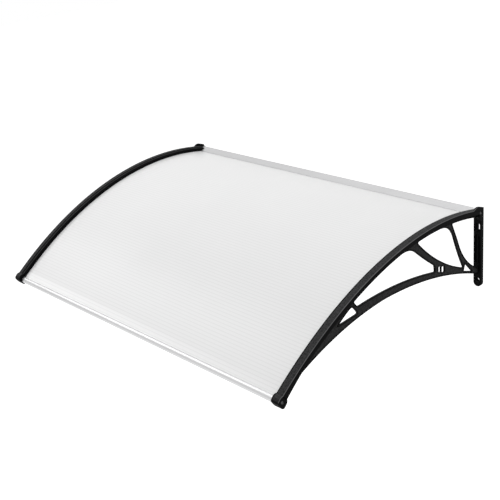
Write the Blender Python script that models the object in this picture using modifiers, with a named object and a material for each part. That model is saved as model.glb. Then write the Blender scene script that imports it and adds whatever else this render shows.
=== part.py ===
"""Door canopy: two moulded brackets, a bent twin-wall sheet and two aluminium bars.

X runs along the wall, Y points into the wall and Z is up. The wall is the plane Y = 0.
The origin is on the wall, midway between the brackets, level with the rear end of the rails.
A place on the side view is given along the rail line (a station) and square to it (a height).
"""
import math

import bmesh
import bpy
import numpy as np
from mathutils import Matrix

MM = 0.001

# The canopy as a whole
WIDTH = 1200 * MM              # over the outer faces of the two brackets
BRACKET_WIDTH = 26 * MM        # across one rail and its wall plate
FIT_GAP = 0.3 * MM             # left between pieces that touch

# The rail line climbs from the wall, turns over and falls to the front
RAIL_LENGTH = 876 * MM
RAIL_REAR_SLOPE = math.radians(-14.7)
RAIL_REAR_RADIUS = 744 * MM
RAIL_FRONT_RADIUS = 1328 * MM

# The rail's section: heights from the rail line, widths from its outer or inner face
RAIL_CROWN = 3.5 * MM
RAIL_LIP_WIDTH = 8 * MM        # lower strip along the inner edge
RAIL_SKIRT_DEPTH = 10.2 * MM
RAIL_SKIRT_WIDTH = 8 * MM
SKIRT_FLARE = 6 * MM           # how much deeper the skirt gets at the front block
SKIRT_FLARE_LENGTH = 90 * MM
RAIL_ROOF = 10.9 * MM          # from the lip's top down to the groove
RAIL_FLANGE = 2.2 * MM         # under the groove
GROOVE_DEPTH = 14 * MM

# The twin-wall sheet
SHEET_THICKNESS = 4.8 * MM
SHEET_SKIN = 0.6 * MM
SHEET_RIB = 0.5 * MM
SHEET_PITCH = 10 * MM
SHEET_SIDE_ROOM = 1 * MM       # from the sheet's edge to the bottom of the groove
SHEET_REAR_SETBACK = 4.5 * MM
SHEET_FRONT_REACH = 4 * MM     # past the end of the rail line

# The web under the rail; each opening's corners are (station, height, fillet, bow)
WEB_RIM = 5.5 * MM             # thickness of its ribs along X
WEB_PLATE = 2.5 * MM           # thickness of its recessed parts along X
WEB_CENTRE = 13.2 * MM         # from the bracket's outer face
WEB_HEAD = 1.5 * MM            # left between the rail and an opening
RIB_BREADTH = 3.6 * MM
ARCH_CROWN = (461 * MM, -98.5 * MM)
ARCH_REAR_BOW = 22 * MM
ARCH_FRONT_BOW = 18.5 * MM
TOE_SETBACK = 46 * MM          # from the end of the rail line
WEB_FOOT_RISE = 39 * MM        # from the wall plate's lowest point
WEB_FOOT_BREADTH = 20 * MM
REAR_OPENING = (134 * MM, 5 * MM, 20 * MM)   # station, fillet, bow of its front side
REAR_OPENING_FILLET = 5 * MM   # its other two corners
SLOT_FILLET = 3 * MM
MIDDLE_OPENING = (
    (291 * MM, None, 8 * MM, None), (142 * MM, None, 46 * MM, -3.5 * MM),
    (53.5 * MM, -160.8 * MM, 5 * MM, 14 * MM))
FRONT_OPENING = (
    (565.6 * MM, None, 5 * MM, None), (323 * MM, None, 36 * MM, -2 * MM),
    (219 * MM, -117 * MM, 5 * MM, 0), (217.4 * MM, -136 * MM, 5 * MM, -12 * MM),
    (559 * MM, -44 * MM, 5 * MM, 0))
TOE_OPENING = (
    (640 * MM, -33.4 * MM, 3 * MM, 2 * MM), (575.3 * MM, -28 * MM, 6 * MM, 0),
    (566.3 * MM, -61 * MM, 6 * MM, 0))
FOOT_OPENING = (
    (45.2 * MM, -149.8 * MM, 3 * MM, 0), (-6 * MM, -177 * MM, 3 * MM, 0),
    (49.5 * MM, -171.5 * MM, 3 * MM, 0))
SMALL_SLOTS = (
    (192.2 * MM, -136.6 * MM, 12 * MM, 20 * MM), (173.8 * MM, -141.3 * MM, 14 * MM, 21 * MM))

# The wall plate
PLATE_THICKNESS = 11.5 * MM
PLATE_FLOOR = 6 * MM           # left behind its pockets
PLATE_RIM = 5 * MM
PLATE_FOOT = -232 * MM         # height of its lowest point
POCKET_CENTRE = -116 * MM
POCKET_TRAVEL = 76 * MM
BOLT_HOLE = 8 * MM
BOLT_RECESS = 15 * MM
UPPER_SLOT_CENTRE = -48 * MM
UPPER_SLOT_TRAVEL = 12 * MM
LOWER_HOLE_RISE = 21 * MM      # from the plate's lowest point

# The bars
BAR_LIP = 1.3 * MM             # over the sheet
BAR_FLANGE = 1.9 * MM          # under the sheet
NOSE_RADIUS = 10.5 * MM
NOSE_CENTRE = 6 * MM           # in front of the rail line's end
FRONT_LIP_START = -1 * MM
FRONT_CHANNEL_AHEAD = 7.5 * MM
FRONT_CHANNEL_RISE = 4 * MM    # above the sheet groove
NOSE_ROOT = (math.radians(122), math.radians(-135))   # where the nose meets lip and flange
NOSE_HOLLOW_RADIUS = 3 * MM
NOSE_HOLLOW_AHEAD = 12 * MM
REAR_LIP_STATION = 34 * MM
REAR_RIDGE_STATION = 7.5 * MM
REAR_RIDGE_HEIGHT = 4 * MM
REAR_FLANGE_STATION = 18 * MM
REAR_BACK_TOP = 3 * MM
REAR_BACK_FOOT = -25 * MM
REAR_BACK_THICKNESS = 2 * MM
REAR_CHANNEL_STATION = 13.2 * MM
REAR_CHANNEL_RISE = 5.5 * MM
REAR_BAR_INSERT = 13 * MM      # past the brackets' inner faces

# The blocks that close the rail's two ends
FRONT_BLOCK_BACK = -6 * MM
FRONT_BLOCK_LEAD = 4 * MM      # in front of the front bar's nose
FRONT_BLOCK_TOP = 6.5 * MM
FRONT_BLOCK_DROP = 1.5 * MM    # below the front bar's nose
REAR_BLOCK_TOP = 5.5 * MM
REAR_BLOCK_LENGTH = 17 * MM
REAR_EAR_WIDTH = 5.5 * MM
REAR_EAR_START = 47 * MM
REAR_EAR_PEAK = ((36.5 * MM, 11.5 * MM), (27 * MM, 13 * MM))
REAR_EAR_BACK = 10.5 * MM
FRONT_BLOCK_FILLETS = (1 * MM, 5 * MM, 7 * MM, 7 * MM, 4 * MM, 1 * MM)
REAR_EAR_FILLETS = (0.5 * MM, 5 * MM, 8 * MM, 1 * MM, 0, 0)

# The self-tapping screws in the bars' ends
SCREW_SHANK = 3.9 * MM
SCREW_HEAD = 8.6 * MM
SCREW_HEAD_HEIGHT = 2.3 * MM
SCREW_POINT = 3 * MM
SCREW_BITE = 14 * MM           # length inside the bar
HEAD_RECESS = 3 * MM

GRID = 20 * MM                 # spacing of the facets along the rail
OVERCUT = 1 * MM
SEAT = 2 * MM                  # how far joined solids run into each other

OUTER = WIDTH / 2
INNER = OUTER - BRACKET_WIDTH
PLATE_CENTRE = (INNER + OUTER) / 2
GROOVE_TOP = -RAIL_ROOF
SHEET_TOP = GROOVE_TOP - FIT_GAP
SHEET_BOTTOM = SHEET_TOP - SHEET_THICKNESS
GROOVE_FLOOR = SHEET_BOTTOM - FIT_GAP
RAIL_BOTTOM = GROOVE_FLOOR - RAIL_FLANGE
SHEET_END = RAIL_LENGTH + SHEET_FRONT_REACH


def rail_table():
    """Stations along the rail line, with its slope and place at each."""
    station = np.linspace(-3 * GRID, RAIL_LENGTH + 3 * GRID, 800)
    rear = 1 / RAIL_REAR_RADIUS
    gain = (1 / RAIL_FRONT_RADIUS - rear) / RAIL_LENGTH
    slope = RAIL_REAR_SLOPE + rear * station + gain * station ** 2 / 2
    middle = (slope[1:] + slope[:-1]) / 2
    step = station[1] - station[0]
    along = np.concatenate([[0], np.cumsum(-np.cos(middle) * step)])
    rise = np.concatenate([[0], np.cumsum(-np.sin(middle) * step)])
    along -= np.interp(0, station, along)
    rise -= np.interp(0, station, rise)
    return station, slope, along, rise


STATION, SLOPE, ALONG, RISE = rail_table()


def at_rail(station, height):
    """The point (y, z) at a station along the rail line and a height square to it."""
    slope = np.interp(station, STATION, SLOPE)
    y = np.interp(station, STATION, ALONG) - height * math.sin(slope)
    z = np.interp(station, STATION, RISE) + height * math.cos(slope)
    return (float(y), float(z))


def station_at(y, height):
    """The station at which a line at this height over the rail line reaches y."""
    reach = ALONG - height * np.sin(SLOPE)
    return float(np.interp(-y, -reach, STATION))


def at_front(ahead, height):
    """The point (y, z) in the straight frame of the rail line's front end."""
    slope = float(np.interp(RAIL_LENGTH, STATION, SLOPE))
    y, z = at_rail(RAIL_LENGTH, height)
    return (y - ahead * math.cos(slope), z - ahead * math.sin(slope))


def along_rail(start, end, height):
    """Points at one height over the rail line, on the same grid for every piece."""
    low, high = min(start, end), max(start, end)
    margin = GRID / 10
    marks = [i * GRID for i in range(math.floor(low / GRID), math.ceil(high / GRID) + 1)]
    stations = [low] + [m for m in marks if low + margin < m < high - margin] + [high]
    if start > end:
        stations.reverse()
    return [at_rail(s, height) for s in stations]


def rail_band(top, bottom, start, end):
    """The closed outline between two heights over the rail line."""
    return along_rail(start, end, top) + along_rail(end, start, bottom)


def bow(start, end, rise=0.0):
    """Points on the arc from start to end whose middle lies rise to the left of the chord."""
    a, b = np.array(start), np.array(end)
    chord = b - a
    length = float(np.hypot(*chord))
    if abs(rise) < FIT_GAP:
        return [start, end]
    left = np.array([-chord[1], chord[0]]) / length
    radius = (length ** 2 / 4 + rise ** 2) / (2 * abs(rise))
    side = math.copysign(1.0, rise)
    centre = (a + b) / 2 - side * left * (radius - abs(rise))
    half = math.asin(min(1.0, length / 2 / radius))
    count = max(4, math.ceil(length / GRID / 1.5))
    points = []
    for i in range(count + 1):
        turn = half * (2 * i / count - 1)
        point = centre + radius * (math.sin(turn) * chord / length + side * math.cos(turn) * left)
        points.append((float(point[0]), float(point[1])))
    return points


def trimmed(path, cut_start, cut_end):
    """A path with a length taken off each end."""
    points = np.array(path)
    reach = np.concatenate([[0], np.cumsum(np.hypot(*np.diff(points, axis=0).T))])
    room = 0.45 * reach[-1]
    first = min(cut_start, room)
    last = reach[-1] - min(cut_end, room)
    stops = [first] + [r for r in reach if first < r < last] + [last]
    return [(float(np.interp(r, reach, points[:, 0])), float(np.interp(r, reach, points[:, 1])))
            for r in stops]


def cleaned(loop):
    """A loop without points that lie on top of each other."""
    kept = []
    for point in loop:
        if not kept or math.dist(point, kept[-1]) > FIT_GAP:
            kept.append(point)
    if math.dist(kept[0], kept[-1]) <= FIT_GAP:
        kept.pop()
    return kept


def rounded_loop(sides, fillets, steps=4):
    """A closed outline from its sides, each starting at a corner with the same fillet."""
    loop = []
    count = len(sides)
    cut = [trimmed(side, fillets[i], fillets[(i + 1) % count]) for i, side in enumerate(sides)]
    for i, side in enumerate(sides):
        loop.extend(cut[i])
        start, corner = np.array(cut[i][-1]), np.array(side[-1])
        end = np.array(cut[(i + 1) % count][0])
        for k in range(1, steps):
            t = k / steps
            point = (1 - t) ** 2 * start + 2 * t * (1 - t) * corner + t ** 2 * end
            loop.append((float(point[0]), float(point[1])))
    return cleaned(loop)


def rounded_polygon(points, fillets):
    """A closed outline from straight sides with rounded corners."""
    sides = [[a, b] for a, b in zip(points, points[1:] + points[:1])]
    return rounded_loop(sides, fillets)


def grown(loop, distance):
    """A closed outline moved outwards by a distance, or inwards by a negative one."""
    points = np.array(loop)
    following = np.roll(points, -1, axis=0)
    area = float(np.sum(points[:, 0] * following[:, 1] - following[:, 0] * points[:, 1]))
    edges = following - points
    edges /= np.hypot(edges[:, 0], edges[:, 1])[:, None]
    outward = math.copysign(1, area) * np.column_stack([edges[:, 1], -edges[:, 0]])
    before = np.roll(outward, 1, axis=0)
    middle = outward + before
    middle /= np.sum(middle * outward, axis=1)[:, None]
    return cleaned([(float(y), float(z)) for y, z in points + distance * middle])


def shifted(path, distance):
    """An open path moved to its left by a distance."""
    ahead = np.gradient(np.array(path), axis=0)
    ahead /= np.hypot(ahead[:, 0], ahead[:, 1])[:, None]
    left = np.column_stack([-ahead[:, 1], ahead[:, 0]])
    return [(float(y), float(z)) for y, z in np.array(path) + distance * left]


def height_over_rail(point):
    """How far a point lies square to the rail line."""
    away = np.column_stack([point[0] - ALONG, point[1] - RISE])
    nearest = int(np.argmin(np.sum(away ** 2, axis=1)))
    return float(away[nearest] @ (-math.sin(SLOPE[nearest]), math.cos(SLOPE[nearest])))


def circle(centre, radius, count=20):
    """Points round a circle."""
    return [(centre[0] + radius * math.cos(2 * math.pi * i / count),
             centre[1] + radius * math.sin(2 * math.pi * i / count)) for i in range(count)]


def upright_slot(height, diameter, travel=0.0, count=20):
    """An oval standing on end in the wall plate's middle, as points (z, x)."""
    points = []
    for i in range(count):
        turn = 2 * math.pi * (i + 0.5) / count
        end = math.copysign(travel / 2, math.cos(turn))
        points.append((height + end + diameter / 2 * math.cos(turn),
                       PLATE_CENTRE + diameter / 2 * math.sin(turn)))
    return points


for old in list(bpy.data.objects):
    bpy.data.objects.remove(old, do_unlink=True)

canopy = bpy.data.collections.new("door_canopy")
cutters = bpy.data.collections.new("cutters")
bpy.context.scene.collection.children.link(canopy)
bpy.context.scene.collection.children.link(cutters)


def finish_material(name, color, roughness, metallic=0.0, alpha=1.0):
    """A Principled material with one colour."""
    material = bpy.data.materials.new(name)
    material.use_nodes = True
    shader = material.node_tree.nodes["Principled BSDF"]
    shader.inputs["Base Color"].default_value = (*color, 1)
    shader.inputs["Roughness"].default_value = roughness
    shader.inputs["Metallic"].default_value = metallic
    shader.inputs["Alpha"].default_value = alpha
    return material


BLACK_PLASTIC = finish_material("black_plastic", (0.02, 0.02, 0.02), 0.45)
POLYCARBONATE = finish_material("polycarbonate", (0.86, 0.88, 0.88), 0.15, alpha=0.6)
ALUMINIUM = finish_material("aluminium", (0.85, 0.85, 0.85), 0.3, metallic=1.0)
SCREW_STEEL = finish_material("screw_steel", (0.1, 0.1, 0.1), 0.4, metallic=1.0)

# An outline's two axes and the way it is pushed, as columns, for a side view and a front view
SIDE_VIEW = Matrix(((0, 0, 1, 0), (1, 0, 0, 0), (0, 1, 0, 0), (0, 0, 0, 1)))
FRONT_VIEW = Matrix(((0, 1, 0, 0), (0, 0, 1, 0), (1, 0, 0, 0), (0, 0, 0, 1)))


def tidy_mesh(mesh):
    """Joins the caps to the sides and turns every face outwards."""
    shape = bmesh.new()
    shape.from_mesh(mesh)
    bmesh.ops.remove_doubles(shape, verts=shape.verts, dist=0.002 * MM)
    bmesh.ops.recalc_face_normals(shape, faces=shape.faces)
    shape.to_mesh(mesh)
    shape.free()


def prism(name, loops, low, high, view=SIDE_VIEW, home=cutters):
    """A solid from a flat outline, with any further outlines as holes through it."""
    curve = bpy.data.curves.new(name, "CURVE")
    curve.dimensions = "2D"
    curve.fill_mode = "BOTH"
    curve.extrude = (high - low) / 2
    for loop in loops:
        spline = curve.splines.new("POLY")
        spline.points.add(len(loop) - 1)
        for point, (u, v) in zip(spline.points, loop):
            point.co = (u, v, 0, 1)
        spline.use_cyclic_u = True
    drawn = bpy.data.objects.new(name + "_outline", curve)
    drawn.matrix_world = view @ Matrix.Translation((0, 0, (high + low) / 2))
    home.objects.link(drawn)
    bpy.context.view_layer.update()
    ready = drawn.evaluated_get(bpy.context.evaluated_depsgraph_get())
    mesh = bpy.data.meshes.new_from_object(ready)
    solid = bpy.data.objects.new(name, mesh)
    solid.matrix_world = drawn.matrix_world
    home.objects.link(solid)
    bpy.data.objects.remove(drawn, do_unlink=True)
    tidy_mesh(mesh)
    if home is cutters:
        solid.hide_render = True
        solid.display_type = "WIRE"
    return solid


def combine(target, other, operation):
    """Adds a Boolean modifier that joins another solid, or cuts it away."""
    modifier = target.modifiers.new(other.name, "BOOLEAN")
    modifier.operation = operation
    modifier.solver = "EXACT"
    modifier.use_hole_tolerant = True
    modifier.object = other


# The bars' outlines, which the brackets follow
channel_height = GROOVE_TOP + FRONT_CHANNEL_RISE
nose_height = (GROOVE_TOP + GROOVE_FLOOR) / 2
nose_centre = at_front(NOSE_CENTRE, nose_height)
front_channel = at_front(FRONT_CHANNEL_AHEAD, channel_height)
rear_channel = at_rail(REAR_CHANNEL_STATION, GROOVE_TOP + REAR_CHANNEL_RISE)
lip_height = GROOVE_TOP + BAR_LIP
flange_height = GROOVE_FLOOR - BAR_FLANGE
slot_end = SHEET_FRONT_REACH + FIT_GAP
nose_turns = np.linspace(*NOSE_ROOT, 23)
front_loop = [at_front(FRONT_LIP_START, GROOVE_TOP), at_front(FRONT_LIP_START, lip_height)]
front_loop += [at_front(NOSE_CENTRE + NOSE_RADIUS * math.cos(turn),
                        nose_height + NOSE_RADIUS * math.sin(turn)) for turn in nose_turns]
front_loop += [at_front(FRONT_LIP_START, flange_height), at_front(FRONT_LIP_START, GROOVE_FLOOR),
               at_front(slot_end, GROOVE_FLOOR), at_front(slot_end, GROOVE_TOP)]
front_holes = [circle(front_channel, SCREW_SHANK / 2 + FIT_GAP, 16),
               circle(at_front(NOSE_HOLLOW_AHEAD, nose_height), NOSE_HOLLOW_RADIUS, 16)]
slot_back = SHEET_REAR_SETBACK - FIT_GAP
flange_root = station_at(-REAR_BACK_THICKNESS, flange_height)
rear_loop = [(0, REAR_BACK_TOP), at_rail(REAR_RIDGE_STATION, REAR_RIDGE_HEIGHT),
             at_rail(REAR_LIP_STATION, lip_height)]
rear_loop += along_rail(REAR_LIP_STATION, slot_back, GROOVE_TOP)
rear_loop += along_rail(slot_back, REAR_FLANGE_STATION, GROOVE_FLOOR)
rear_loop += along_rail(REAR_FLANGE_STATION, flange_root, flange_height)
rear_loop += [(-REAR_BACK_THICKNESS, REAR_BACK_FOOT), (0, REAR_BACK_FOOT)]

# Right bracket: the rail, whose two rear corners lie exactly in the wall plane
rail_top = along_rail(station_at(0, RAIL_CROWN), RAIL_LENGTH, RAIL_CROWN)
rail_under = along_rail(RAIL_LENGTH, station_at(0, RAIL_BOTTOM), RAIL_BOTTOM)
rail_top[0] = (0, rail_top[0][1])
rail_under[-1] = (0, rail_under[-1][1])
right_bracket = prism("right_bracket", [rail_top + rail_under], INNER, OUTER, home=canopy)

# Right bracket: the block over the front bar's end
block_front = NOSE_CENTRE + NOSE_RADIUS + FRONT_BLOCK_LEAD
block_foot = nose_height - NOSE_RADIUS - FRONT_BLOCK_DROP
flange_middle = RAIL_BOTTOM + RAIL_FLANGE / 2
front_block = prism(
    "front_block",
    [rounded_polygon(
        [at_front(FRONT_BLOCK_BACK, RAIL_CROWN - SEAT / 2), at_front(SEAT, FRONT_BLOCK_TOP),
         at_front(block_front - SEAT, FRONT_BLOCK_TOP - SEAT), at_front(block_front, block_foot),
         at_front(0, block_foot + SEAT), at_front(FRONT_BLOCK_BACK, flange_middle)],
        FRONT_BLOCK_FILLETS)], INNER, OUTER)

# Right bracket: the ear and the block at the wall
rear_ear = prism(
    "rear_ear",
    [rounded_polygon(
        [at_rail(REAR_EAR_START, RAIL_CROWN - SEAT / 2), at_rail(*REAR_EAR_PEAK[0]),
         at_rail(*REAR_EAR_PEAK[1]), (0, REAR_EAR_BACK), (0, -SEAT),
         at_rail(REAR_EAR_START, -SEAT)],
        REAR_EAR_FILLETS)], OUTER - REAR_EAR_WIDTH, OUTER)
rear_block = prism(
    "rear_block",
    [[(0, REAR_BLOCK_TOP), (-REAR_BLOCK_LENGTH, REAR_BLOCK_TOP), (-REAR_BLOCK_LENGTH, -SEAT),
      (0, -SEAT)]], INNER, OUTER)

# Right bracket: the wall plate, round at its foot
foot_turns = [math.pi * i / 14 for i in range(15)]
foot_top = PLATE_FOOT + BRACKET_WIDTH / 2
plate_loop = [(foot_top - BRACKET_WIDTH / 2 * math.sin(turn),
               PLATE_CENTRE + BRACKET_WIDTH / 2 * math.cos(turn)) for turn in foot_turns]
plate_loop += [(-SEAT, INNER), (-SEAT, OUTER)]
wall_plate = prism("wall_plate", [plate_loop], -PLATE_THICKNESS, 0, view=FRONT_VIEW)

# Right bracket: the web, a lower arch with two struts up to the rail
head = RAIL_BOTTOM - WEB_HEAD
web_foot = (SEAT - PLATE_THICKNESS, PLATE_FOOT + WEB_FOOT_RISE)
crown = at_rail(*ARCH_CROWN)
toe = at_rail(RAIL_LENGTH - TOE_SETBACK, flange_middle)
arch = bow(web_foot, crown, -ARCH_REAR_BOW)[:-1] + bow(crown, toe, -ARCH_FRONT_BOW)
seat_start = station_at(web_foot[0], flange_middle)
web_loop = arch[:-1] + along_rail(RAIL_LENGTH - TOE_SETBACK, seat_start, flange_middle)


def opening(corners):
    """A web opening; where a corner has no height, it lies under the rail.

    A side between two such corners runs along the rail, and the others bow by their own value.
    """
    sides = []
    for i, (station, height, fillet, rise) in enumerate(corners):
        next_station, next_height = corners[(i + 1) % len(corners)][:2]
        if rise is None:
            sides.append(along_rail(station, next_station, head))
        else:
            sides.append(bow(at_rail(station, head if height is None else height),
                             at_rail(next_station, head if next_height is None else next_height),
                             rise))
    return rounded_loop(sides, [corner[2] for corner in corners])


rear_station, rear_fillet, rear_bow = REAR_OPENING
plate_face = -PLATE_THICKNESS + SEAT / 2
rear_top = along_rail(rear_station, station_at(plate_face, head), head)
rear_foot = (plate_face, web_foot[1] + WEB_FOOT_BREADTH)
rear_opening = rounded_loop(
    [rear_top, [rear_top[-1], rear_foot], bow(rear_foot, rear_top[0], rear_bow)],
    [rear_fillet, REAR_OPENING_FILLET, REAR_OPENING_FILLET])
large_openings = [rear_opening] + [
    opening(c) for c in (MIDDLE_OPENING, FRONT_OPENING, TOE_OPENING, FOOT_OPENING)]
small_slots = []
for station, height, breadth, length in SMALL_SLOTS:
    y, z = at_rail(station, height)
    small_slots.append(rounded_polygon(
        [(y - breadth / 2, z + length / 2), (y + breadth / 2, z + length / 2 - SEAT),
         (y + breadth / 2, z - length / 2), (y - breadth / 2, z - length / 2 + SEAT)],
        [SLOT_FILLET] * 4))

web_low = OUTER - WEB_CENTRE - WEB_RIM / 2
web_high = OUTER - WEB_CENTRE + WEB_RIM / 2
web = prism("web", [web_loop], web_low, web_high)
recess_foot = [point for point in shifted(arch, -RIB_BREADTH)
               if height_over_rail(point) < RAIL_BOTTOM - RIB_BREADTH / 2]
recess_end = station_at(recess_foot[-1][0], RAIL_BOTTOM)
recess_top = flange_middle + OVERCUT
recess_loop = recess_foot + along_rail(recess_end, station_at(recess_foot[0][0], recess_top),
                                       recess_top)
web_recesses = [
    prism("inner_recess", [recess_loop], web_low - OVERCUT, OUTER - WEB_CENTRE - WEB_PLATE / 2),
    prism("outer_recess", [recess_loop], OUTER - WEB_CENTRE + WEB_PLATE / 2, web_high + OVERCUT)]
for i, loop in enumerate(large_openings):
    rib = prism(f"rib_{i}", [grown(loop, RIB_BREADTH)],
                web_low - 2 * OVERCUT, web_high + 2 * OVERCUT)
    for recess in web_recesses:
        combine(recess, rib, "DIFFERENCE")
for recess in web_recesses:
    combine(web, recess, "DIFFERENCE")
for i, loop in enumerate(large_openings + small_slots):
    combine(web, prism(f"opening_{i}", [loop], web_low - OVERCUT, web_high + OVERCUT), "DIFFERENCE")

# Right bracket: what is cut into it
sheet_groove = prism(
    "sheet_groove",
    [rail_band(GROOVE_TOP, GROOVE_FLOOR, SHEET_REAR_SETBACK - FIT_GAP, SHEET_END + FIT_GAP)],
    INNER - OVERCUT, INNER + GROOVE_DEPTH)
skirt_end = RAIL_LENGTH + FRONT_BLOCK_BACK - OVERCUT
skirt_rebate = prism(
    "skirt_rebate",
    [along_rail(REAR_BLOCK_LENGTH, RAIL_LENGTH - SKIRT_FLARE_LENGTH, -RAIL_SKIRT_DEPTH)
     + [at_rail(skirt_end, -RAIL_SKIRT_DEPTH - SKIRT_FLARE)]
     + along_rail(skirt_end, REAR_BLOCK_LENGTH, RAIL_BOTTOM - OVERCUT)],
    OUTER - RAIL_SKIRT_WIDTH, OUTER + OVERCUT)
lip_rebate = prism(
    "lip_rebate",
    [rail_band(RAIL_CROWN + OVERCUT, 0, REAR_BLOCK_LENGTH, skirt_end)],
    INNER - OVERCUT, INNER + RAIL_LIP_WIDTH)
lower_hole_centre = PLATE_FOOT + LOWER_HOLE_RISE
plate_cuts = []
for name, outline in (
        ("plate_pocket", upright_slot(POCKET_CENTRE, BRACKET_WIDTH - 2 * PLATE_RIM, POCKET_TRAVEL)),
        ("upper_recess", upright_slot(UPPER_SLOT_CENTRE, BOLT_RECESS, UPPER_SLOT_TRAVEL)),
        ("lower_recess", upright_slot(lower_hole_centre, BOLT_RECESS))):
    plate_cuts.append(prism(name, [outline], -PLATE_THICKNESS - OVERCUT, -PLATE_FLOOR, FRONT_VIEW))
for name, outline in (
        ("upper_slot", upright_slot(UPPER_SLOT_CENTRE, BOLT_HOLE, UPPER_SLOT_TRAVEL)),
        ("lower_hole", upright_slot(lower_hole_centre, BOLT_HOLE))):
    plate_cuts.append(prism(name, [outline], -PLATE_THICKNESS, OVERCUT, FRONT_VIEW))
screw_cuts = []
for name, centre in (("front", front_channel), ("rear", rear_channel)):
    screw_cuts.append(prism(name + "_screw_hole", [circle(centre, SCREW_SHANK / 2 + FIT_GAP, 16)],
                            INNER - OVERCUT, OUTER))
    screw_cuts.append(prism(name + "_head_recess", [circle(centre, SCREW_HEAD / 2 + FIT_GAP)],
                            OUTER - HEAD_RECESS, OUTER + OVERCUT))

bar_pocket = prism("bar_pocket", [grown(rear_loop, FIT_GAP)], INNER - OVERCUT,
                   INNER + REAR_BAR_INSERT)
over_bar = prism(
    "over_bar",
    [[(OVERCUT, 0), (OVERCUT, GRID), (at_rail(REAR_BLOCK_LENGTH, 0)[0], GRID),
      at_rail(REAR_BLOCK_LENGTH, lip_height)]], INNER - OVERCUT, INNER + REAR_BAR_INSERT)

for solid in (front_block, rear_ear, rear_block, wall_plate, web):
    combine(right_bracket, solid, "UNION")
for cutter in (lip_rebate, skirt_rebate, sheet_groove, bar_pocket, over_bar, *plate_cuts,
               *screw_cuts):
    combine(right_bracket, cutter, "DIFFERENCE")
right_bracket.data.materials.append(BLACK_PLASTIC)

# Left bracket: the right one seen in a mirror
bpy.context.view_layer.update()
right_ready = right_bracket.evaluated_get(bpy.context.evaluated_depsgraph_get())
mirrored = bpy.data.meshes.new_from_object(right_ready)
mirrored.transform(Matrix.Diagonal((-1, 1, 1, 1)) @ right_bracket.matrix_world)
mirrored.flip_normals()
left_bracket = bpy.data.objects.new("left_bracket", mirrored)
canopy.objects.link(left_bracket)

# Canopy sheet: two skins with ribs between them, running from bracket to bracket
sheet_edge = INNER + GROOVE_DEPTH - SHEET_SIDE_ROOM
flute_count = round((SHEET_END - SHEET_REAR_SETBACK) / SHEET_PITCH)
ribs = [SHEET_REAR_SETBACK + (SHEET_END - SHEET_REAR_SETBACK) * i / flute_count
        for i in range(flute_count + 1)]
sheet_loops = [[at_rail(s, SHEET_TOP) for s in ribs]
               + [at_rail(s, SHEET_BOTTOM) for s in reversed(ribs)]]
for i in range(flute_count):
    back = ribs[i] + SHEET_RIB * (1 if i == 0 else 0.5)
    front = ribs[i + 1] - SHEET_RIB * (1 if i == flute_count - 1 else 0.5)
    sheet_loops.append([
        at_rail(back, SHEET_TOP - SHEET_SKIN), at_rail(front, SHEET_TOP - SHEET_SKIN),
        at_rail(front, SHEET_BOTTOM + SHEET_SKIN), at_rail(back, SHEET_BOTTOM + SHEET_SKIN)])
canopy_sheet = prism("canopy_sheet", sheet_loops, -sheet_edge, sheet_edge, home=canopy)
canopy_sheet.data.materials.append(POLYCARBONATE)

# Front bar: a round nose with a slot for the sheet, a screw channel and a hollow
front_end = INNER - FIT_GAP
front_bar = prism("front_bar", [front_loop] + front_holes, -front_end, front_end, home=canopy)
front_bar.data.materials.append(ALUMINIUM)

# Rear bar: a flat back on the wall, a lip over the sheet and a flange under it
rear_end = INNER + REAR_BAR_INSERT - FIT_GAP
rear_bar = prism("rear_bar", [rear_loop, circle(rear_channel, SCREW_SHANK / 2 + FIT_GAP, 16)],
                 -rear_end, rear_end, home=canopy)
rear_bar.data.materials.append(ALUMINIUM)

# Screws: a turned pan head, shank and point, one in each end of each bar
head_seat = OUTER - HEAD_RECESS + FIT_GAP
shank_length = head_seat - front_end + SCREW_BITE
profile = [(0, SCREW_HEAD_HEIGHT), (SCREW_HEAD * 0.28, SCREW_HEAD_HEIGHT * 0.9),
           (SCREW_HEAD * 0.44, SCREW_HEAD_HEIGHT * 0.55), (SCREW_HEAD / 2, 0),
           (SCREW_SHANK / 2, 0), (SCREW_SHANK / 2, SCREW_POINT - shank_length),
           (0, -shank_length)]
screw_mesh = bpy.data.meshes.new("bar_screw")
turned = bmesh.new()
rings = [turned.verts.new((radius, 0, height)) for radius, height in profile]
for upper, lower in zip(rings, rings[1:]):
    turned.edges.new((upper, lower))
turned.to_mesh(screw_mesh)
turned.free()
screw_mesh.materials.append(SCREW_STEEL)
for name, side, centre in (
        ("front_left_screw", -1, front_channel), ("front_right_screw", 1, front_channel),
        ("rear_left_screw", -1, rear_channel), ("rear_right_screw", 1, rear_channel)):
    screw = bpy.data.objects.new(name, screw_mesh)
    screw.matrix_world = (Matrix.Translation((side * head_seat, *centre))
                          @ Matrix.Rotation(side * math.pi / 2, 4, "Y"))
    canopy.objects.link(screw)
    turn = screw.modifiers.new("turned", "SCREW")
    turn.axis = "Z"
    turn.angle = 2 * math.pi
    turn.steps = 16
    turn.render_steps = 16
    turn.use_merge_vertices = True
    turn.merge_threshold = 0.01 * MM

for piece in canopy.objects:
    piece.data.shade_smooth()
    piece.data.set_sharp_from_angle(angle=math.radians(30))
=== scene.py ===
import bmesh
import bpy
import math
import numpy as np
from mathutils import Matrix, Vector


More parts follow.
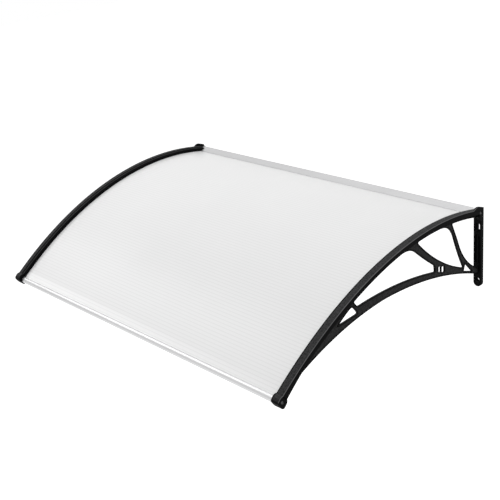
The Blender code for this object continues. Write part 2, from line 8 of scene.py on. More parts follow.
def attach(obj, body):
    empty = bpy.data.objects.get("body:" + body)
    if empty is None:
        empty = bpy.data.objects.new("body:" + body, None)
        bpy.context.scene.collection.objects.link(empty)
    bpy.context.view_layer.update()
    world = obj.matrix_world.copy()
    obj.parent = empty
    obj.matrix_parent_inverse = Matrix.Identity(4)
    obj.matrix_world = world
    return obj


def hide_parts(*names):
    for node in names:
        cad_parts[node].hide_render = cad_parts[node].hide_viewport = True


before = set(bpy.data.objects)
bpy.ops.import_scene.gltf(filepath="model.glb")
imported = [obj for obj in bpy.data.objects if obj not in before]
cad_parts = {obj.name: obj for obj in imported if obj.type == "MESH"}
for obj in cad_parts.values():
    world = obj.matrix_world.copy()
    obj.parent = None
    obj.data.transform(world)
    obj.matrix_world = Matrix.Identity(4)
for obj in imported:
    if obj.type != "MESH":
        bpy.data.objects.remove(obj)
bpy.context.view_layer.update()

# Side brackets, their rail: each bracket is one black moulding, and its rail is the bowed channel
# that grips the sheet's side edge. It climbs from the wall, turns over and falls to the front,
# with a crowned outer strip, a lower strip along the sheet and a skirt down its outside.
MM = 0.001
HAIR = 0.05 * MM
RAIL_END = 876 * MM
RAIL_LEAN = math.radians(-14.7)
# A bend is one over the rail line's radius there, in metres.
REAR_BEND = 1 / 0.744
FRONT_BEND = 1 / 1.328
LINE_STEP = 1 * MM
# The corners of the section: mm from the canopy's middle, and mm over the rail line.
RAIL_SECTION = [
    (600, -10.2), (600, 0.9), (599.3, 2.3), (597.8, 3.1), (595.5, 3.5), (584.2, 3.5), (582.9, 3.2),
    (582.2, 2.5), (582, 1.4), (582, 0.5), (581.5, 0), (575, 0), (574.3, -0.3), (574, -1),
    (574, -10.9), (588, -10.9), (588, -16.3), (574, -16.3), (574, -17.9), (574.6, -18.5),
    (591.2, -18.5), (592, -17.7), (592, -10.9), (592.4, -10.2)]
RAIL_START, RAIL_STOP = 22 * MM, RAIL_END - 3 * MM
SKIRT_FOOT = -10.2 * MM
SKIRT_FLARE = 5.6 * MM
FLARE_START = 786 * MM

stations = np.linspace(-60 * LINE_STEP, 940 * LINE_STEP, 1001)
leans = (RAIL_LEAN + REAR_BEND * stations
         + (FRONT_BEND - REAR_BEND) * stations ** 2 / (2 * RAIL_END))


def summed(rates):
    """Adds up small steps along the rail, from nothing at the wall."""
    total = np.concatenate([[0], np.cumsum((rates[1:] + rates[:-1]) / 2 * LINE_STEP)])
    return total - np.interp(0, stations, total)


line_y, line_z = summed(-np.cos(leans)), summed(-np.sin(leans))


def rail_place(station):
    """Where the rail line is at a station, and how it leans there."""
    y, z, lean = (float(np.interp(station, stations, row)) for row in (line_y, line_z, leans))
    return Matrix.Translation((0, y, z)) @ Matrix.Rotation(lean, 4, "X")


def by_rail(station, height):
    """The side-view point at a station and a height square to the rail line."""
    point = rail_place(station) @ Vector((0, 0, height))
    return (point.y, point.z)


def marks(start, end, step=8 * MM):
    """Evenly spaced stations from start to end."""
    return np.linspace(start, end, max(2, round(abs(end - start) / step) + 1))


def corners_of(made):
    """The vertices in what an operator made."""
    return [item for item in made if isinstance(item, bmesh.types.BMVert)]


def drawn_on(shape, rim, move):
    """Extrudes edges by one move, and gives the new corners and edges."""
    made = bmesh.ops.extrude_edge_only(shape, edges=rim)["geom"]
    ring = corners_of(made)
    bmesh.ops.transform(shape, matrix=move, verts=ring)
    return ring, [item for item in made if isinstance(item, bmesh.types.BMEdge)
                  and all(corner in ring for corner in item.verts)]


def drawn_along_rail(shape, section, start, end):
    """Draws a closed section along the rail, and gives its ring of corners at each mark."""
    stops = marks(start, end)
    ring = [shape.verts.new(rail_place(stops[0]) @ Vector((x, 0, height))) for x, height in section]
    rear_rim = rim = [shape.edges.new(pair) for pair in zip(ring, ring[1:] + ring[:1])]
    rings = [(stops[0], ring)]
    for here, there in zip(stops, stops[1:]):
        ring, rim = drawn_on(shape, rim, rail_place(there) @ rail_place(here).inverted())
        rings.append((there, ring))
    for edges in (rear_rim, rim):
        bmesh.ops.triangle_fill(shape, use_beauty=True, edges=edges)
    return rings


bracket = bmesh.new()
section = [(x * MM, height * MM) for x, height in RAIL_SECTION]
for station, ring in drawn_along_rail(bracket, section, RAIL_START, RAIL_STOP):
    flare = SKIRT_FLARE * max(0, (station - FLARE_START) / (RAIL_END - FLARE_START))
    place = rail_place(station)
    for corner in ring:
        if abs((place.inverted() @ corner.co).z - SKIRT_FOOT) < 2 * HAIR:
            corner.co += place.to_3x3() @ Vector((0, 0, -flare))

# Side brackets, the web: a lower arch rises from the wall plate to meet the rail near the front,
# and struts join the two. It is moulded with the rail, as a thin plate with raised ribs along its
# edge and round each opening, and the openings' corners are rounded so that they don't crack.
WEB_MIDDLE = 586.8 * MM
WEB_DEPTH = 2.5 * MM
RIB_DEPTH = 5.5 * MM
RIB_BREADTH = 3.6 * MM
RIB_SPACE = 0.3 * MM
UNDER_RIB = 1 * MM
UNDER_RAIL = -20 * MM
RIB_TUCK = -18.5 * MM
WEB_TUCK = -19 * MM
IN_RAIL = -17.4 * MM
# The arch's foot is given by its y and z, and its crown and toe by station and height.
ARCH_FOOT = (-9.5 * MM, -193 * MM)
ARCH_CROWN = (461 * MM, -98.5 * MM)
ARCH_TOE = (830 * MM, -17.4 * MM)
REAR_BOW, FRONT_BOW = -22 * MM, -18.5 * MM
REAR_GAP_START = 134 * MM
REAR_GAP_FOOT = (-10.5 * MM, -173 * MM)
REAR_GAP_KNEE = (-107.6 * MM, -56.2 * MM)
REAR_GAP_BOW = 15 * MM
REAR_GAP_FILLETS = [5 * MM, 5 * MM, 5 * MM, 10 * MM]
# Each corner of an opening: station, height, fillet, and the bow of the side after it, in mm. One
# with no height lies just under the rail, and a side with no bow follows the rail.
GAPS = [
    [(291, None, 8, None), (142, None, 46, -3.5), (53.5, -160.8, 5, 14)],
    [(565.6, None, 8, None), (323, None, 36, -2), (219, -117, 5, 0),
     (217.4, -136, 5, -12), (559, -44, 8, 0)],
    [(640, -33.4, 3, 2), (575.3, -28, 9, 0), (566.3, -61, 8, 0)],
    [(45.2, -149.8, 3, 0), (-6, -177, 3, 0), (49.5, -171.5, 3, 0)]]
# Each slot near the arch's foot: station, height, breadth and length, in mm.
SLOTS = [(192.2, -136.6, 12, 20), (173.8, -141.3, 14, 21)]
SLOT_LEAN = 2 * MM
SLOT_FILLET = 3 * MM
# A fillet takes at most this share of a side.
FILLET_SHARE = 0.45
EASED_ANGLE = math.radians(50)

SIDE_VIEW = Matrix(((0, 0, 1, 0), (1, 0, 0, 0), (0, 1, 0, 0), (0, 0, 0, 1)))


def bowed(start, end, rise, pieces=14):
    """A side that stands a little off its chord, to the left of it."""
    start, end = np.array(start), np.array(end)
    chord = end - start
    left = np.array([-chord[1], chord[0]]) / np.hypot(*chord)
    turns = np.linspace(0, 1, pieces + 1)[:, None]
    return start + chord * turns + left * rise * 4 * turns * (1 - turns)


def under_rail(start, end, height):
    """A side that runs along the rail at one height."""
    return np.array([by_rail(station, height) for station in marks(start, end)])


def station_at(y, height):
    """The station at which a line at this height over the rail reaches y."""
    return float(np.interp(-y, -(line_y - height * np.sin(leans)), stations))


def rounded(sides, radii, steps=6):
    """One outline from sides that meet at corners, with each corner rounded off."""
    cut = []
    for i, side in enumerate(sides):
        reach = np.concatenate([[0], np.cumsum(np.hypot(*np.diff(side, axis=0).T))])
        room = FILLET_SHARE * reach[-1]
        first, last = min(radii[i], room), reach[-1] - min(radii[(i + 1) % len(sides)], room)
        stops = [first] + [r for r in reach if first + MM < r < last - MM] + [last]
        cut.append(np.column_stack([np.interp(stops, reach, side[:, k]) for k in (0, 1)]))
    outline = []
    for i, side in enumerate(cut):
        start, corner, end = side[-1], sides[i][-1], cut[(i + 1) % len(cut)][0]
        turns = np.linspace(0, 1, steps + 1)[1:-1, None]
        outline += [side, (1 - turns) ** 2 * start + 2 * turns * (1 - turns) * corner
                    + turns ** 2 * end]
    outline = np.concatenate(outline)
    return outline[np.hypot(*(outline - np.roll(outline, 1, axis=0)).T) > HAIR]


def straight_sided(points, radii):
    """An outline with straight sides and rounded corners."""
    return rounded([np.array(pair) for pair in zip(points, points[1:] + points[:1])], radii)


def grown(outline, distance):
    """An outline moved outwards by a distance, or inwards by a negative one."""
    ahead = np.roll(outline, -1, axis=0) - outline
    ahead = ahead / np.hypot(ahead[:, 0], ahead[:, 1])[:, None]
    after = np.roll(outline, -1, axis=0)
    turn = np.sign(np.sum(outline[:, 0] * after[:, 1] - after[:, 0] * outline[:, 1]))
    outward = turn * np.column_stack([ahead[:, 1], -ahead[:, 0]])
    middle = outward + np.roll(outward, 1, axis=0)
    return outline + distance * middle / np.sum(middle * outward, axis=1)[:, None]


def beneath(path, height):
    """The points of a path that lie below this height over the rail line."""
    return np.array([point for point in path if (rail_place(station_at(
        point[0], UNDER_RAIL)).inverted() @ Vector((0, *point))).z < height])


def slab(shape, outlines, low, high, ease=0.5 * MM, view=SIDE_VIEW):
    """A flat part between two depths, its edges eased; outlines after the first are holes."""
    rims = []
    for outline in outlines:
        ring = [shape.verts.new(view @ Vector((*point, low))) for point in outline]
        rims += [shape.edges.new(pair) for pair in zip(ring, ring[1:] + ring[:1])]
    filled = bmesh.ops.triangle_fill(shape, use_beauty=True, edges=rims)["geom"]
    face = [item for item in filled if isinstance(item, bmesh.types.BMFace)]
    lifted = corners_of(bmesh.ops.extrude_face_region(shape, geom=face)["geom"])
    bmesh.ops.translate(shape, vec=view.to_3x3() @ Vector((0, 0, high - low)), verts=lifted)
    sides = {side for corner in lifted for side in corner.link_faces}
    sides |= {side for rim in rims for side in rim.link_faces} | set(face)
    bmesh.ops.recalc_face_normals(shape, faces=list(sides))
    if ease:
        edges = {edge for side in sides for edge in side.edges
                 if edge.is_manifold and edge.calc_face_angle() > EASED_ANGLE}
        bmesh.ops.bevel(shape, geom=list(edges), offset=ease, offset_type="OFFSET", segments=2,
                        profile=0.5, affect="EDGES", clamp_overlap=False, material=-1)


def web_gap(corners):
    """The outline of an opening in the web."""
    sides = []
    for i, (station, height, radius, rise) in enumerate(corners):
        onward, drop = corners[(i + 1) % len(corners)][:2]
        if rise is None:
            sides.append(under_rail(station * MM, onward * MM, UNDER_RAIL))
            continue
        ends = [by_rail(at * MM, UNDER_RAIL if over is None else over * MM)
                for at, over in ((station, height), (onward, drop))]
        sides.append(bowed(*ends, rise * MM))
    return rounded(sides, [corner[2] * MM for corner in corners])


arch = np.concatenate([bowed(ARCH_FOOT, by_rail(*ARCH_CROWN), REAR_BOW, pieces=40)[:-1],
                       bowed(by_rail(*ARCH_CROWN), by_rail(*ARCH_TOE), FRONT_BOW, pieces=32)])
ahead = np.gradient(arch, axis=0)
inward = np.column_stack([ahead[:, 1], -ahead[:, 0]]) / np.hypot(ahead[:, 0], ahead[:, 1])[:, None]
rear_top = under_rail(REAR_GAP_START, station_at(REAR_GAP_FOOT[0], UNDER_RAIL), UNDER_RAIL)
gaps = [rounded([rear_top, np.array([rear_top[-1], REAR_GAP_FOOT]),
                 bowed(REAR_GAP_FOOT, REAR_GAP_KNEE, REAR_GAP_BOW),
                 np.array([REAR_GAP_KNEE, rear_top[0]])], REAR_GAP_FILLETS)]
gaps += [web_gap(corners) for corners in GAPS]
slots = []
for station, height, breadth, length in SLOTS:
    y, z = by_rail(station * MM, height * MM)
    half, tall = breadth / 2 * MM, length / 2 * MM
    slots.append(straight_sided(
        [(y - half, z + tall), (y + half, z + tall - SLOT_LEAN), (y + half, z - tall),
         (y - half, z - tall + SLOT_LEAN)], [SLOT_FILLET] * 4))
holes = gaps + slots

web_faces = (WEB_MIDDLE - WEB_DEPTH / 2, WEB_MIDDLE + WEB_DEPTH / 2)
rib_faces = (WEB_MIDDLE - RIB_DEPTH / 2, WEB_MIDDLE + RIB_DEPTH / 2)
sunk = beneath(arch + inward * UNDER_RIB, WEB_TUCK)
seat = under_rail(station_at(sunk[-1][0], IN_RAIL), station_at(ARCH_FOOT[0], IN_RAIL), IN_RAIL)
slab(bracket, [np.concatenate([sunk, seat]), *(grown(hole, UNDER_RIB) for hole in holes)],
     *web_faces, ease=0)
slab(bracket, [np.concatenate([arch, beneath(arch + inward * RIB_BREADTH, RIB_TUCK)[::-1]])],
     *rib_faces)
# Each opening's rib stands a hair prouder than the last, so that no two faces fall together.
for i, hole in enumerate(holes):
    others = np.concatenate(holes[:i] + holes[i + 1:])
    room = min(np.hypot(*(others - point).T).min() for point in hole)
    proud = HAIR * (i + 1)
    slab(bracket, [grown(hole, min(RIB_BREADTH, room - RIB_SPACE)), hole],
         rib_faces[0] - proud, rib_faces[1] + proud)

# Side brackets, the ends: a block closes the rail over the front bar's end, and another one with
# a raised ear closes it at the wall. A screw goes through each block into the bar. The wall plate
# hangs from the rear block, hollowed from the front, with a slot and a round hole for its bolts.
INNER, OUTER = 574 * MM, 600 * MM
AT_WALL = -0.1 * MM
OVERLAP = 0.3 * MM
# The front block's corners: mm ahead of the rail's end, mm over the rail line, and the fillet.
FRONT_BLOCK = [(-6, 2.5, 1), (2, 6.5, 5), (18.5, 4.5, 8), (20.5, -25.6, 11), (0, -23.6, 7),
               (-6, -17.4, 1)]
FRONT_EASE = 0.9 * MM
SCREW_RECESS = 4.6 * MM
RECESS_FLOOR = 597 * MM
FRONT_SCREW = (7.5 * MM, -6.9 * MM)
REAR_SCREW = (13.2 * MM, -5.4 * MM)
BAR_ROOM = 587.2 * MM
BLOCK_FOOT = -27 * MM
EAR_INNER = 594.5 * MM
EAR_FILLETS = [0.5 * MM, 5 * MM, 8 * MM, 1 * MM, 0, 0, 0]
# Each wedge's top over the rail line, and its inner and outer side.
WEDGES = ((0, INNER, 583 * MM), (3.5 * MM, 582 * MM, BAR_ROOM + MM))
WEDGE_EASE = 0.3 * MM
PLATE_TOP, PLATE_FOOT = -26 * MM, -232 * MM
PLATE_FRONT, PLATE_FLOOR = -11.5 * MM, -6 * MM
PLATE_EASE = 0.7 * MM
PLATE_INSET = 0.06 * MM
POCKET_HEIGHT, POCKET_BREADTH, POCKET_LENGTH = -116 * MM, 16 * MM, 76 * MM
UPPER_BOLT, LOWER_BOLT = -48 * MM, PLATE_FOOT + 21 * MM
BOLT_RECESS, BOLT_HOLE, BOLT_TRAVEL = 15 * MM, 8 * MM, 12 * MM
FRONT_VIEW = Matrix(((0, 1, 0, 0), (0, 0, 1, 0), (1, 0, 0, 0), (0, 0, 0, 1)))


def by_front(ahead, height):
    """The side-view point ahead of the rail's end, square to its lean there."""
    point = rail_place(RAIL_END) @ Vector((0, -ahead, height))
    return (point.y, point.z)


def ring_of(centre, radius, pieces=28):
    """A round outline."""
    turns = np.linspace(0, 2 * math.pi, pieces, endpoint=False)
    return np.array(centre) + radius * np.column_stack([np.cos(turns), np.sin(turns)])


def oval(height, breadth, travel=0, pieces=28):
    """An upright oval in the middle of the wall plate, round where it has no travel."""
    turns = (np.arange(pieces) + 0.5) / pieces * 2 * math.pi
    ends = np.copysign(travel / 2, np.cos(turns))
    middle = (INNER + OUTER) / 2
    return np.column_stack([height + ends + breadth / 2 * np.cos(turns),
                            middle + breadth / 2 * np.sin(turns)])


front_block = straight_sided(
    [by_front(reach * MM, height * MM) for reach, height, _ in FRONT_BLOCK],
    [fillet * MM for _, _, fillet in FRONT_BLOCK])
front_recess = ring_of(by_front(*FRONT_SCREW), SCREW_RECESS)
slab(bracket, [front_block, front_recess], INNER, OUTER, ease=FRONT_EASE)
slab(bracket, [grown(front_recess, OVERLAP)], INNER + MM, RECESS_FLOOR, ease=0)

rear_block = np.array(
    [(AT_WALL, 5.5 * MM), (-17 * MM, 5.5 * MM), by_rail(18.5 * MM, 3.4 * MM),
     by_rail(23 * MM, 3.4 * MM), by_rail(23 * MM, -10.2 * MM), by_rail(17 * MM, -10.2 * MM),
     by_rail(17 * MM, -18.4 * MM), (-11.5 * MM, BLOCK_FOOT), (AT_WALL, BLOCK_FOOT)])
rear_recess = ring_of(by_rail(*REAR_SCREW), SCREW_RECESS)
slab(bracket, [rear_block, rear_recess], BAR_ROOM, OUTER)
slab(bracket, [grown(rear_recess, OVERLAP)], BAR_ROOM + MM, RECESS_FLOOR, ease=0)
ear = straight_sided(
    [by_rail(47 * MM, 2.6 * MM), by_rail(36.5 * MM, 11.5 * MM), by_rail(27 * MM, 13 * MM),
     (AT_WALL, 10.5 * MM), (AT_WALL, 3.4 * MM), by_rail(20 * MM, 0), by_rail(47 * MM, 0)],
    EAR_FILLETS)
slab(bracket, [ear], EAR_INNER, OUTER)
# Two wedges close the rail's rear end over the bar, and a ledge fills the block in below the bar.
for top, low, high in WEDGES:
    slab(bracket, [np.array([by_rail(17.5 * MM, top), by_rail(24 * MM, top),
                             by_rail(24 * MM, -10.5 * MM), by_rail(22 * MM, -10.5 * MM)])],
         low, high, ease=WEDGE_EASE)
slab(bracket, [np.array([(-2.6 * MM, BLOCK_FOOT), (-11.3 * MM, BLOCK_FOOT),
                         (-11.3 * MM, -15.6 * MM), (-2.6 * MM, -17.6 * MM)])],
     INNER, BAR_ROOM + MM, ease=0)

turns = np.linspace(0, math.pi, 25)
half = (OUTER - INNER) / 2
foot = np.column_stack([PLATE_FOOT + half - half * np.sin(turns),
                        INNER + half + half * np.cos(turns)])
plate = np.concatenate([foot, [(PLATE_TOP, INNER), (PLATE_TOP, OUTER)]])
slab(bracket, [plate, oval(POCKET_HEIGHT, POCKET_BREADTH, POCKET_LENGTH),
               oval(UPPER_BOLT, BOLT_RECESS, BOLT_TRAVEL), oval(LOWER_BOLT, BOLT_RECESS)],
     PLATE_FRONT, PLATE_FLOOR + 2 * OVERLAP, ease=PLATE_EASE, view=FRONT_VIEW)
slab(bracket, [grown(plate, -PLATE_INSET), oval(UPPER_BOLT, BOLT_HOLE, BOLT_TRAVEL),
               oval(LOWER_BOLT, BOLT_HOLE)], PLATE_FLOOR, AT_WALL, view=FRONT_VIEW)
bmesh.ops.recalc_face_normals(bracket, faces=bracket.faces)


class Wire:
    """One output of a material's node. Arithmetic on it adds Math nodes."""

    def __init__(self, tree, socket=None):
        self.tree, self.socket = tree, socket

    def node(self, kind, inputs, output=0, **settings):
        """Adds a node of this kind, sets it up, feeds it and gives one of its outputs."""
        made = self.tree.nodes.new("ShaderNode" + kind)
        for name, value in settings.items():
            setattr(made, name, value)
        for name, value in inputs.items():
            if isinstance(value, Wire):
                self.tree.links.new(value.socket, made.inputs[name])
            else:
                made.inputs[name].default_value = value
        return Wire(self.tree, made.outputs[output])

    def reckoned(self, operation, other=0.0):
        """What a Math node makes of this and another value."""
        return self.node("Math", {0: self, 1: other}, operation=operation)

    def __add__(self, other):
        return self.reckoned("ADD", other)

    def __sub__(self, other):
        return self.reckoned("SUBTRACT", other)

    def __rsub__(self, other):
        return self.node("Math", {0: other, 1: self}, operation="SUBTRACT")

    def __mul__(self, other):
        return self.reckoned("MULTIPLY", other)

    def __abs__(self):
        return self.reckoned("ABSOLUTE")

    __radd__ = __add__
    __rmul__ = __mul__

    def part(self, axis):
        """The X, Y or Z of a vector."""
        return self.node("SeparateXYZ", {0: self}, output=axis)

    def span(self, low, high, start=0.0, end=1.0):
        """What runs from one value to another while this runs from low to high."""
        return self.node("MapRange", {0: self, 1: low, 2: high, 3: start, 4: end})

    def mixed(self, first, second):
        """A colour between two, by this value."""
        return self.node("Mix", {0: self, 6: first, 7: second}, output=2, data_type="RGBA")


def new_finish(name, **constants):
    """A material with some constant sockets, its shader, and what its nodes start from."""
    material = bpy.data.materials.new(name)
    material.use_nodes = True
    shader = material.node_tree.nodes["Principled BSDF"]
    for socket, value in constants.items():
        shader.inputs[socket.replace("_", " ")].default_value = value
    return material, shader, Wire(material.node_tree)


def feed(shader, **wires):
    """Joins what changes over the surface to the shader."""
    for socket, wire in wires.items():
        wire.tree.links.new(wire.socket, shader.inputs[socket.replace("_", " ")])


# A fine grain covers the moulding. Painted light shows it pale where the rail's crown faces up and
# on the web's sunk faces, and a painted highlight lies along the crown's outer edge.
CREASE = math.radians(38)
DEEP_BLACK = (0.003, 0.003, 0.0032, 1)
PAINTED_LIGHT_BLACK = (0.12, 0.12, 0.122, 1)
black_plastic, shader, start = new_finish(
    "moulded_black_plastic", IOR=1.45, Specular_IOR_Level=0.03)
position = start.node("TexCoord", {}, output="Object")
facing = start.node("TexCoord", {}, output="Normal")
grain = start.node("TexNoise", {"Vector": position, "Scale": 280, "Detail": 3, "Roughness": 0.7})
cloud = start.node("TexNoise", {"Vector": position, "Scale": 18, "Detail": 3})
upward, sideways = facing.part("Z"), abs(facing.part("X"))
out = abs(position.part("X"))
# Painted light: the grain shows pale where the moulding faces up away from its inner edge (the
# rail's crown), and on the web's sunk faces.
crown = upward.span(0.3, 0.85) * out.span(576.5 * MM, 578.5 * MM)
# Painted highlight: a paler strip where the crown's outer edge turns from the top to the side.
painted_edge_highlight = upward.span(0.25, 0.6) * out.span(597.6 * MM, 598.6 * MM)
painted_sunk_light = sideways.span(0.8, 0.9) * abs(out - WEB_MIDDLE).span(1.6 * MM, 2.2 * MM, 1, 0)
painted_lit_grain = grain.span(0.35, 0.65, 0.3, 1.4) * crown.reckoned("MAXIMUM", painted_sunk_light * 0.9)
feed(shader,
     Base_Color=(painted_lit_grain * 0.34 + painted_edge_highlight * 0.9 + cloud * 0.02).mixed(DEEP_BLACK, PAINTED_LIGHT_BLACK),
     Roughness=0.4 + cloud * 0.12 + grain * 0.1,
     Normal=start.node("Bump", {"Strength": 0.35, "Distance": 0.12 * MM, "Height": grain}))


def shown(name, shape, finish, node):
    """Makes the finished shape a piece that stands for a CAD node."""
    mesh = bpy.data.meshes.new(name)
    shape.to_mesh(mesh)
    shape.free()
    mesh.shade_smooth()
    mesh.set_sharp_from_angle(angle=CREASE)
    mesh.materials.append(finish)
    piece = bpy.data.objects.new(name, mesh)
    bpy.context.collection.objects.link(piece)
    piece.modifiers.new("flat faces stay flat", "WEIGHTED_NORMAL").keep_sharp = True
    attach(piece, "root")
    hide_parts(node)


other_side = bracket.copy()
bmesh.ops.scale(other_side, vec=(-1, 1, 1), verts=other_side.verts)
bmesh.ops.reverse_faces(other_side, faces=other_side.faces)
shown("right_side_bracket", bracket, black_plastic, "right_bracket")
shown("left_side_bracket", other_side, black_plastic, "left_bracket")

# Canopy sheet: one extruded twin-wall polycarbonate sheet, milky and softly glossy, bent over the
# two rails and gripped along all four edges. Its flutes run from side to side, and each rib
# between them draws the skin in a little, which shows as fine lines across the canopy.
SHEET_SIDE = 587 * MM
SHEET_TOP = -11.2 * MM
SHEET_THICKNESS = 4.8 * MM
SHEET_START, SHEET_STOP = 4.5 * MM, 880 * MM
FLUTES = 88
RIB_SINK = 0.07 * MM
# How far across a flute, and what share of the rib's sink the skin has there.
FLUTE_SHAPE = ((0, 1), (0.09, 0.3), (0.25, 0), (0.5, 0), (0.75, 0), (0.91, 0.3))
MILKY_SHADE = (0.755, 0.755, 0.755, 1)
MILKY_LIGHT = (0.935, 0.935, 0.935, 1)

pitch = (SHEET_STOP - SHEET_START) / FLUTES
skin = [(SHEET_START + (i + part) * pitch, share * RIB_SINK)
        for i in range(FLUTES) for part, share in FLUTE_SHAPE]
skin.append((SHEET_STOP, RIB_SINK))
sheet = bmesh.new()
flute_uv = sheet.loops.layers.uv.new("flutes")
rear_ends = [sheet.verts.new(rail_place(skin[0][0]) @ Vector((side, 0, SHEET_TOP - skin[0][1])))
             for side in (-SHEET_SIDE, SHEET_SIDE)]
edge = [sheet.edges.new(rear_ends)]
for (here, sink), (there, next_sink) in zip(skin, skin[1:]):
    move = (rail_place(there) @ Matrix.Translation((0, 0, sink - next_sink))
            @ rail_place(here).inverted())
    edge = drawn_on(sheet, edge, move)[1]
for face in sheet.faces:
    for loop in face.loops:
        x, y = loop.vert.co.xy
        loop[flute_uv].uv = (x / SHEET_SIDE, (station_at(y, SHEET_TOP) - SHEET_START) / pitch)
bmesh.ops.recalc_face_normals(sheet, faces=sheet.faces)
if next(iter(sheet.faces)).normal.z < 0:
    bmesh.ops.reverse_faces(sheet, faces=sheet.faces)
bmesh.ops.solidify(sheet, geom=sheet.faces, thickness=SHEET_THICKNESS)
bmesh.ops.recalc_face_normals(sheet, faces=sheet.faces)

# The ribs show a little darker, and a painted highlight makes the sheet brightest over the front
# bar, towards the left.
milky, shader, start = new_finish("milky_polycarbonate", IOR=1.5)
position = start.node("TexCoord", {}, output="Object")
drift = start.node("TexNoise", {"Vector": position, "Scale": 3.5, "Detail": 2})
fine = start.node("TexNoise", {"Vector": position, "Scale": 420, "Detail": 2})
flutes = start.node("UVMap", {}, uv_map="flutes")
to_right, flute_count = flutes.part("X"), flutes.part("Y")
rib = flute_count.reckoned("PINGPONG", 0.5).span(0.05, 0.16, 1, 0)
# Painted highlight: the sheet is paler over the front bar, most at the left and fading to the
# right.
painted_bar_highlight = flute_count.span(84.8, 85.6) * to_right.span(-1, 0.9, 1, 0.2)
feed(shader,
     Base_Color=(painted_bar_highlight * 0.55 + drift * 0.27 + fine * 0.08 - rib * 0.34 + 0.13).mixed(
         MILKY_SHADE, MILKY_LIGHT),
     Roughness=0.27 + drift * 0.08,
     Normal=start.node("Bump", {"Strength": 0.12, "Distance": 0.1 * MM, "Height": fine}))
shown("twin_wall_sheet", sheet, milky, "canopy_sheet")

# Front and rear bars: aluminium extrusions with a satin anodised skin, drawn in fine lines along
# their length. The front one has a round nose and a slot for the sheet, and the rear one lies
# flat on the wall, with a sloping lip over the sheet. Both end in the brackets.
BAR_ENDS = {"front": 573.7 * MM, "rear": 586.7 * MM}
NOSE_RADIUS = 10.5 * MM
NOSE_CENTRE = (6 * MM, -13.6 * MM)
DULL_METAL = (0.51, 0.51, 0.515, 1)
BRIGHT_METAL = (0.66, 0.66, 0.665, 1)

turns = np.radians(np.linspace(122, -135, 49))
nose = [by_front(NOSE_CENTRE[0] + NOSE_RADIUS * math.cos(turn),
                 NOSE_CENTRE[1] + NOSE_RADIUS * math.sin(turn)) for turn in turns]
front_outline = np.array(
    [by_front(-1 * MM, -10.9 * MM), by_front(-1 * MM, -9.9 * MM), by_front(-0.7 * MM, -9.6 * MM)]
    + nose
    + [by_front(-0.7 * MM, -18.2 * MM), by_front(-1 * MM, -17.9 * MM),
       by_front(-1 * MM, -16.3 * MM), by_front(4.3 * MM, -16.3 * MM),
       by_front(4.3 * MM, -10.9 * MM)])
rear_outline = np.concatenate([
    [(-0.3 * MM, 3 * MM), (0, 2.7 * MM), (0, -25 * MM), (-2 * MM, -25 * MM)],
    under_rail(station_at(-2 * MM, -18.2 * MM), 17.7 * MM, -18.2 * MM),
    [by_rail(18 * MM, -17.9 * MM)],
    under_rail(18 * MM, 4.2 * MM, -16.3 * MM), under_rail(4.2 * MM, 34 * MM, -10.9 * MM),
    [by_rail(34 * MM, -9.9 * MM), by_rail(33.6 * MM, -9.5 * MM), by_rail(8.3 * MM, 3.7 * MM),
     by_rail(7.5 * MM, 4 * MM), by_rail(6.7 * MM, 4 * MM)]])

aluminium, shader, start = new_finish("satin_aluminium", Metallic=1.0)
position = start.node("TexCoord", {}, output="Object")
stretched = start.node("Mapping", {"Vector": position, "Scale": (5, 1600, 1600)})
drawn = start.node("TexNoise", {"Vector": stretched, "Scale": 1, "Detail": 2})
haze = start.node("TexNoise", {"Vector": position, "Scale": 9, "Detail": 2})
feed(shader,
     Base_Color=(drawn * 0.7 + haze * 0.3).mixed(DULL_METAL, BRIGHT_METAL),
     Roughness=0.3 + drawn * 0.14,
     Normal=start.node("Bump", {"Strength": 0.15, "Distance": 0.05 * MM, "Height": drawn}))
for name, outline in (("front", front_outline), ("rear", rear_outline)):
    bar = bmesh.new()
    slab(bar, [outline], -BAR_ENDS[name], BAR_ENDS[name], ease=0)
    shown(name + "_edge_bar", bar, aluminium, name + "_bar")

# Bar screws: four blackened steel screws, headed cold and then thread-rolled, each driven from the
# side through a rail end into its bar. The pan head has a six-lobed socket, and sits in its recess
# level with the bracket's side.
HEAD_SEAT = 597.3 * MM
# A screw's sizes and its outline, radius and height over the head's seat, are in mm.
SHANK, TIP, TIP_RADIUS = 34.6, 3, 1.6
CREST, ROOT = 1.95, 1.55
THREAD_START, THREAD_PITCH, THREADS = 4, 2.4, 12
SOCKET_RADIUS, SOCKET_DEPTH = 1.3, 1.2
LOBES, LOBE_REACH = 6, 0.14
HEAD_OUTLINE = [(0, 2.3), (SOCKET_RADIUS, 2.3), (2.5, 2.1), (3.4, 1.7), (4.0, 1.0), (4.3, 0.2),
                (4.3, 0), (CREST, 0)]
DARK_STEEL = (0.05, 0.05, 0.052, 1)
SCUFFED_STEEL = (0.13, 0.13, 0.132, 1)

blackened, shader, start = new_finish("blackened_steel", Metallic=1.0)
position = start.node("TexCoord", {}, output="Object")
scuff = start.node("TexNoise", {"Vector": position, "Scale": 600, "Detail": 3})
feed(shader,
     Base_Color=scuff.mixed(DARK_STEEL, SCUFFED_STEEL),
     Roughness=0.32 + scuff * 0.2)


